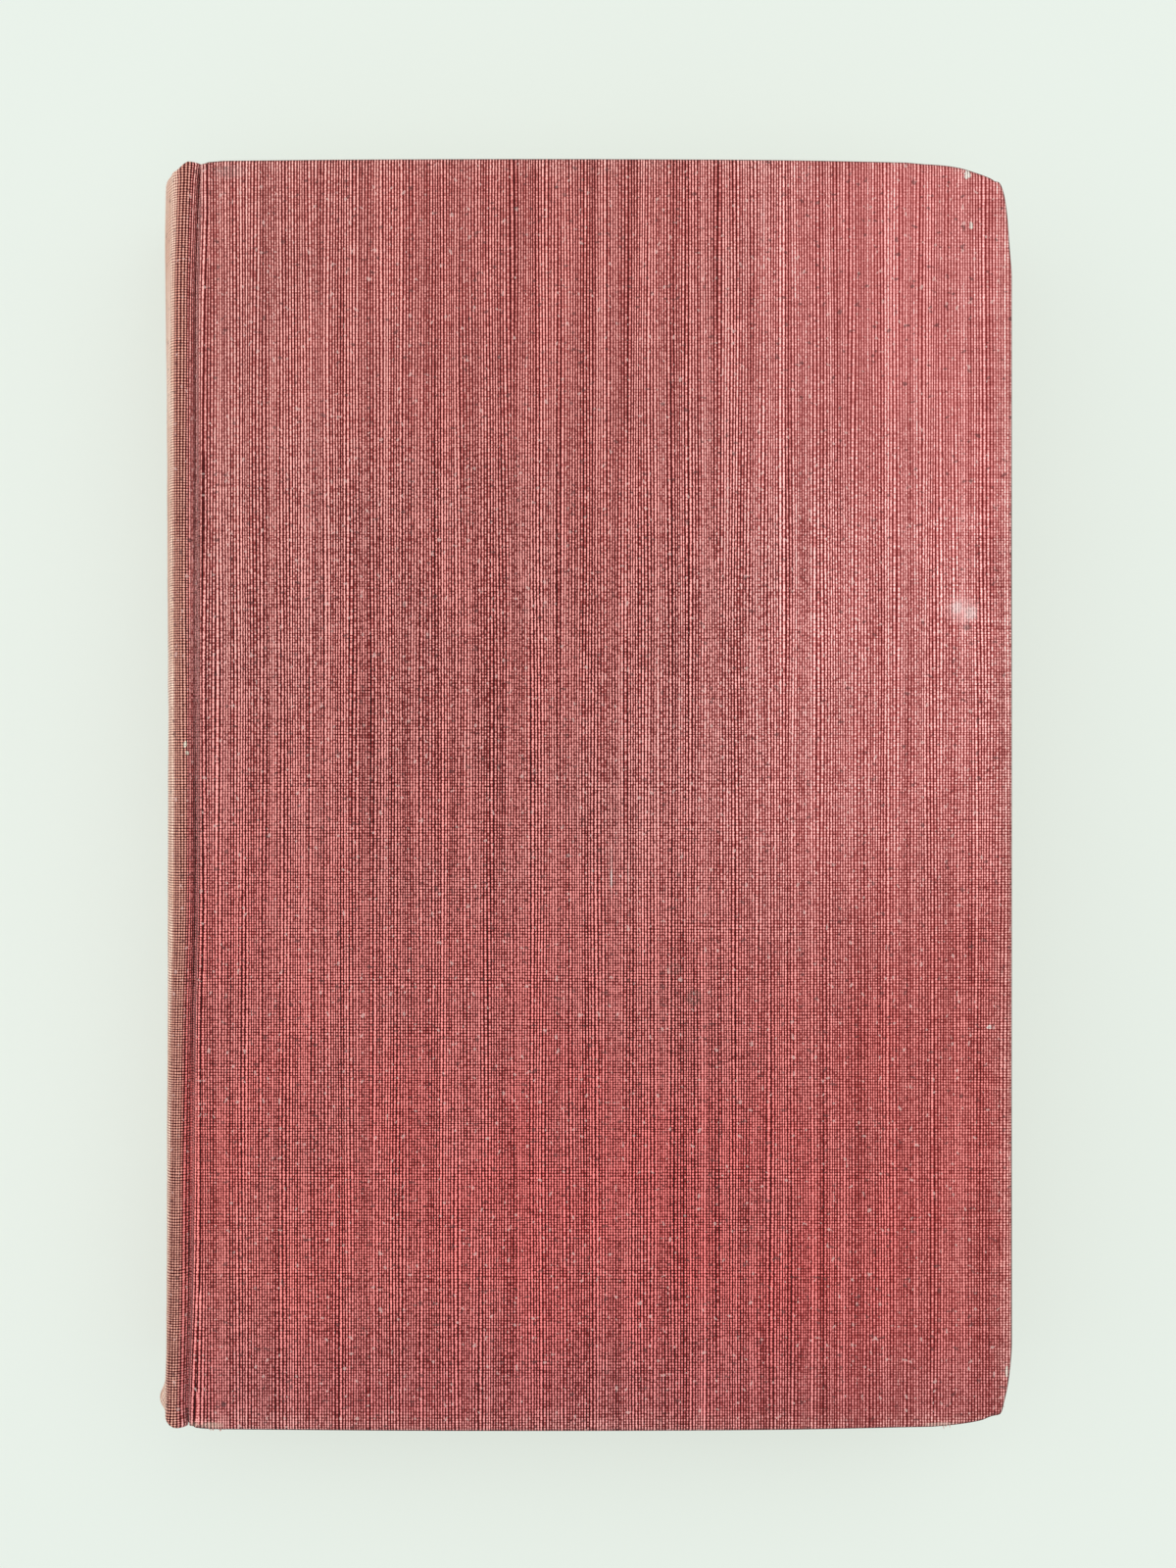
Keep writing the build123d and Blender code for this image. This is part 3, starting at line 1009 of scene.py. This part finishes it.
def spinePoint(share, along):
    row, inset = spineRow(share, along)
    onRidge = 1 - soft(min(share, 1 - share), *spine["beadShares"])
    outside = 1 if inset < 0.6 else 0
    bead = spine["bead"] * onRidge * soft(abs(row), *spine["beadRows"]) * outside
    x, z, length = spineCoordinates(share, row, inset - bead)
    dent = spine["dent"] * noise.noise(Vector((z * 0.16, row * 0.035, 2.0)))
    dent += spine["fineDent"] * noise.noise(Vector((z * 0.5, row * 0.2, 6.0)))
    x += dent * soft(-x, 60.5, 63.5)
    return Vector((x, row, z))


def makeSpineCloth():
    bm = unitSheet(64, 190)
    sun = bm.verts.layers.float.new("sunFade")
    dustAndPaintedLight = bm.verts.layers.float.new("grooveDustAndPaintedLight")
    shares = {vert: (vert.co.x, vert.co.y) for vert in bm.verts}
    places = {}
    for vert, (share, along) in shares.items():
        row, inset = spineRow(share, along)
        x, z, length = spineCoordinates(share, row, 0)
        places[vert] = (share, row, inset, length)
    halfSpine = spineOutline(0.5, spine["meanReach"], 0)[2]
    layer = bm.loops.layers.uv.new("weave")
    for face in bm.faces:
        for loop in face.loops:
            share, row, inset, length = places[loop.vert]
            strip = length if share <= 0.5 else 2 * halfSpine - length
            loop[layer].uv = onWeaveMap(grooveOnCloth - strip, row + math.copysign(inset, row))
    for vert, (share, along) in shares.items():
        vert.co = spinePoint(share, along)
        outward = (jointShift(vert.co.y) if vert.co.z > middleZ else 0) - vert.co.x
        vert[sun] = sum(much * soft(outward, low, high) for much, low, high in spine["sunBands"])
        # pale dust and painted light in the groove, lifting its shade
        vert[dustAndPaintedLight] = 1 - soft(outward, *spine["dustAndPaintedLight"])
    bm.normal_update()
    outside = [f for f in bm.faces if abs(f.calc_center_median().y) < 50]
    if sum(f.normal.x for f in outside) > 0:
        bmesh.ops.reverse_faces(bm, faces=bm.faces)
    piece = makePiece("spineCloth", bm, finishes["frontCloth"])
    thicken(piece, spine["wall"])
    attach(piece, "book_block")
    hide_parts("spine_cloth")


def makeSpineCard():
    # the card strip under the cloth of the spine
    bm = unitBox(20, 60, 0)
    end = spine["cardEnd"]
    for vert in bm.verts:
        share = mix(*spine["cardShares"], vert.co.x)
        row = mix(capDip(share, -1) - end, end - capDip(share, 1), vert.co.y)
        inset = spine["cardInset"] + spine["cardThick"] * (1 - vert.co.z)
        x, z, length = spineCoordinates(share, row, inset)
        vert.co = Vector((x, row, z))
    faceOut(bm)
    piece = makePiece("spineCardStrip", bm, finishes["card"], 30)
    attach(piece, "book_block")
    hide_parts("spine_inlay")


makeSpineCloth()
makeSpineCard()
print("spine made")


# joint cloth, pastedowns

joint = {
    "length": 97.35,
    "wall": 0.3,
    # section of the groove from its bottom up over the board's edge, x and z
    "section": [
        (-59.45, 29.98), (-59.2, 29.95), (-58.98, 30.2), (-58.82, 30.65), (-58.72, 31.15), (-58.62, 31.55),
        (-58.38, 31.87), (-57.98, 32.04), (-57.3, 32.03), (-56.9, 31.9),
    ],
    "onCloth": (grooveOnCloth, -56.9),  # its edges on the unfolded cloth
    "endDrop": 0.25,  # the groove's bottom sinks at head and tail
    "endRows": (94.5, 97.0),
    "sun": 0.12,
    "bend": [(-58.95, 29.8), (-58.0, 31.7)],  # where it starts to turn with the cover, and where it ends
}
pastedown = {
    "half": 95.0,
    "hinge": [(-59.15, 28.12), (-59.0, 28.22), (-58.75, 28.32), (-58.4, 28.42), (-58.0, 28.5)],
    "hingeShare": 0.08,
    "fore": 64.0,
    "window": (52.0, 83.0),  # where it steps up onto the turned-in cloth: x, and distance from the middle
    "flange": (-33.6, 82.5),  # where it steps over the edge of the mull
    "step": 0.6,
    "onTurnIn": 28.56,
    "onBoard": 28.94,
    "overMull": 0.2,
    "flat": -56.5,
    "paper": 0.16,
    "bend": [(-59.15, 28.1), (-57.4, 28.6)],
}


def alongSection(points, share):
    place = share * (len(points) - 1)
    k = min(int(place), len(points) - 2)
    return [mix(a, b, place - k) for a, b in zip(points[k], points[k + 1])]


def makeJointCloth(half):
    front = half == "front"
    points = joint["section"]
    bm = unitSheet((len(points) - 1) * 2, 130)
    dustAndPaintedLight = bm.verts.layers.float.new("grooveDustAndPaintedLight")
    sun = bm.verts.layers.float.new("sunFade")
    layer = bm.loops.layers.uv.new("weave")
    length = joint["length"]
    for face in bm.faces:
        for loop in face.loops:
            strip = mix(*joint["onCloth"], loop.vert.co.x)
            loop[layer].uv = onWeaveMap(strip, mix(-length, length, loop.vert.co.y))
    for vert in bm.verts:
        share = vert.co.x
        row = mix(-length, length, vert.co.y)
        x, z = alongSection(points, share)
        shift = jointShift(row) if front else 0.0
        boardShift = min(shift, cover["jointMost"])
        x += mix(shift, boardShift, soft(share, 0.1, 0.5))
        z -= joint["endDrop"] * soft(abs(row), *joint["endRows"]) * (1 - soft(share, 0.2, 0.6))
        if not front:
            z = min(z, bookThick)
        # pale dust and painted light at the groove's bottom, lifting its shade
        vert[dustAndPaintedLight] = 1 - soft(share, 0.28, 0.62)
        vert[sun] = joint["sun"] * (1 - soft(share, 0.4, 0.9))
        vert.co = Vector((x, row, sideUp(z, front)))
    faceToward(bm, Vector((0, 0, 1 if front else -1)))
    piece = makePiece(half + "JointCloth", bm, finishes[half + "Cloth"], 80)
    thicken(piece, joint["wall"])
    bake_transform(piece)


def insideEdges(x, y, corner):
    # 1 inside a rectangle that reaches to corner, 0 outside it, with a soft step
    step = pastedown["step"]
    return soft(corner[0] - x, -step, step) * soft(corner[1] - abs(y), -step, step)


def makePastedown(half):
    # lies on the board and steps down over the turned-in cloth, and hinges to the pages
    front = half == "front"
    body, node = half + "_cover", half + "_pastedown"
    form = pastedown
    hinge, hingeShare = form["hinge"], form["hingeShare"]
    hingeEnd = hinge[-1][0]
    bm = unitSheet(104, 128)
    for vert in bm.verts:
        share = vert.co.x
        y = mix(-form["half"], form["half"], vert.co.y)
        if share < hingeShare:
            x, z = alongSection(hinge, share / hingeShare)
        else:
            x = mix(hingeEnd, form["fore"], (share - hingeShare) / (1 - hingeShare))
            flat = soft(x, hingeEnd, form["flat"])
            window = insideEdges(x, y, form["window"])
            z = mix(hinge[-1][1], mix(form["onTurnIn"], form["onBoard"], window), flat)
            z -= form["overMull"] * insideEdges(x, y, form["flange"]) * window * flat
        vert.co = Vector((x, y, sideUp(z, front)))
    faceToward(bm, Vector((0, 0, -1 if front else 1)))
    piece = makePiece(half + "Pastedown", bm, finishes["endpaper"], 60)
    thicken(piece, form["paper"], 1.0)
    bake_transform(piece)
    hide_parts(node)


for make in (makeJointCloth, makePastedown):
    for half in ("front", "back"):
        make(half)
print("joints and pastedowns made")


# pages

page = {
    "half": 95.0,
    "low": 4.0,
    "high": 28.0,
    "fore": 64.0,
    "hollow": 4.2,
    "back": -63.6,
    "backRise": 2.4,
    "shoulder": 1.6,
    "leaves": 119,
    "ragged": 0.07,  # single leaves and groups of leaves stand out this far
    "groups": 0.05,
    "uneven": 0.12,
}


def makePageBlock():
    rng = random.Random(7)
    count = page["leaves"] + 2
    edges = {}
    for side in ("head", "tail", "fore"):
        edges[side] = [rng.uniform(-1, 1) for k in range(count)]
    bm = unitBox(43, 60, page["leaves"])
    for vert in bm.verts:
        a, b, c = vert.co
        leaf = round(c * (count - 1))
        level = 2 * c - 1
        fore = page["fore"] - page["hollow"] * (1 - level * level)
        back = page["back"] + page["backRise"] * level * level
        group = math.sin(c * 60.0) * page["groups"]
        x = mix(back, fore, 0.35 * a + 0.65 * a * a)
        if a > 0.999:
            x += page["ragged"] * edges["fore"][leaf] + group
            x += page["uneven"] * noise.noise(Vector((b * 9, c * 3, 1.0)))
        y = (b - 0.5) * 2 * page["half"]
        if b > 0.999:
            y += page["ragged"] * edges["head"][leaf] - page["groups"] - abs(group)
        if b < 0.001:
            y += page["ragged"] * edges["tail"][leaf] + page["groups"] + abs(group)
        z = mix(page["low"], page["high"], c)
        z += page["shoulder"] * level * soft(-x, 58.9, 60.4)
        vert.co = Vector((x, y, z))
    faceOut(bm)
    piece = makePiece("pageBlock", bm, finishes["pages"], 30)
    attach(piece, "book_block")
    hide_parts("text_block")


makePageBlock()
print("pages made")


# CAD pieces that keep their shape

nodeFinishes = {
    "front_mull_flange": "mull",
    "back_mull_flange": "mull",
    "mull": "mull",
    "spine_lining": "lining",
    "front_free_endpaper": "endpaper",
    "back_free_endpaper": "endpaper",
}
for nodeName, finishName in nodeFinishes.items():
    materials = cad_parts[nodeName].data.materials
    if materials:
        for k in range(len(materials)):
            materials[k] = finishes[finishName]
    else:
        materials.append(finishes[finishName])
print("CAD nodes finished:", len(nodeFinishes))


# floor, light, camera

studio = {
    "floor": tint(156, 162, 156),
    "floorDark": tint(151, 158, 152),
    "sky": (0.93, 0.97, 0.95, 1),
    "skyStrength": 0.66,
    "glow": tint(243, 250, 243),
    "floorGlow": 0.535,
    "lamps": [
        {"name": "softTop", "at": (0.32, 0.25, 1.3), "size": 1.6, "power": 9.4},
        {"name": "softLeft", "at": (-0.8, 0.1, 0.9), "size": 1.0, "power": 2.2},
    ],
    "floorLow": -0.05,  # the floor lies a hair below the book, in mm
    "camera": (0.0016, 0.0017, 0.380),  # looks straight down
    "lens": 51.8,
    "sensor": 36.0,
}


def makeStudio():
    bm = bmesh.new()
    bmesh.ops.create_grid(bm, x_segments=4, y_segments=4, size=4.0)
    bmesh.ops.translate(bm, vec=(0, 0, studio["floorLow"] * mm), verts=bm.verts)
    mesh = bpy.data.meshes.new("floor")
    bm.to_mesh(mesh)
    bm.free()
    finish, tree, shader = newFinish("paleFloor", 0.9, 0.2)
    place = put(tree, "TexCoord").outputs["Object"]
    tone = cloud(place, (6, 6, 6), 3)
    feed(shader.inputs["Base Color"], blendColour(tone, studio["floor"], studio["floorDark"]))
    shader.inputs["Emission Color"].default_value = studio["glow"]
    shader.inputs["Emission Strength"].default_value = studio["floorGlow"]
    mesh.materials.append(finish)
    floor = bpy.data.objects.new("floor", mesh)
    bpy.context.scene.collection.objects.link(floor)

    world = bpy.data.worlds.new("studio")
    world.use_nodes = True
    background = world.node_tree.nodes["Background"]
    background.inputs["Color"].default_value = studio["sky"]
    background.inputs["Strength"].default_value = studio["skyStrength"]
    bpy.context.scene.world = world
    for lamp in studio["lamps"]:
        data = bpy.data.lights.new(lamp["name"], "AREA")
        data.size = lamp["size"]
        data.energy = lamp["power"]
        light = bpy.data.objects.new(lamp["name"], data)
        light.location = lamp["at"]
        light.rotation_mode = "QUATERNION"
        light.rotation_quaternion = (-Vector(lamp["at"])).to_track_quat("-Z", "Y")
        light.visible_camera = False
        bpy.context.scene.collection.objects.link(light)

    camera = bpy.data.objects.new("camera", bpy.data.cameras.new("camera"))
    camera.data.lens = studio["lens"]
    camera.data.sensor_width = studio["sensor"]
    camera.data.clip_start = 0.01
    camera.location = studio["camera"]
    camera.rotation_euler = (0, 0, 0)
    bpy.context.scene.collection.objects.link(camera)
    bpy.context.scene.camera = camera
    bpy.context.scene.view_settings.view_transform = "Standard"


makeStudio()
print("scene ready")
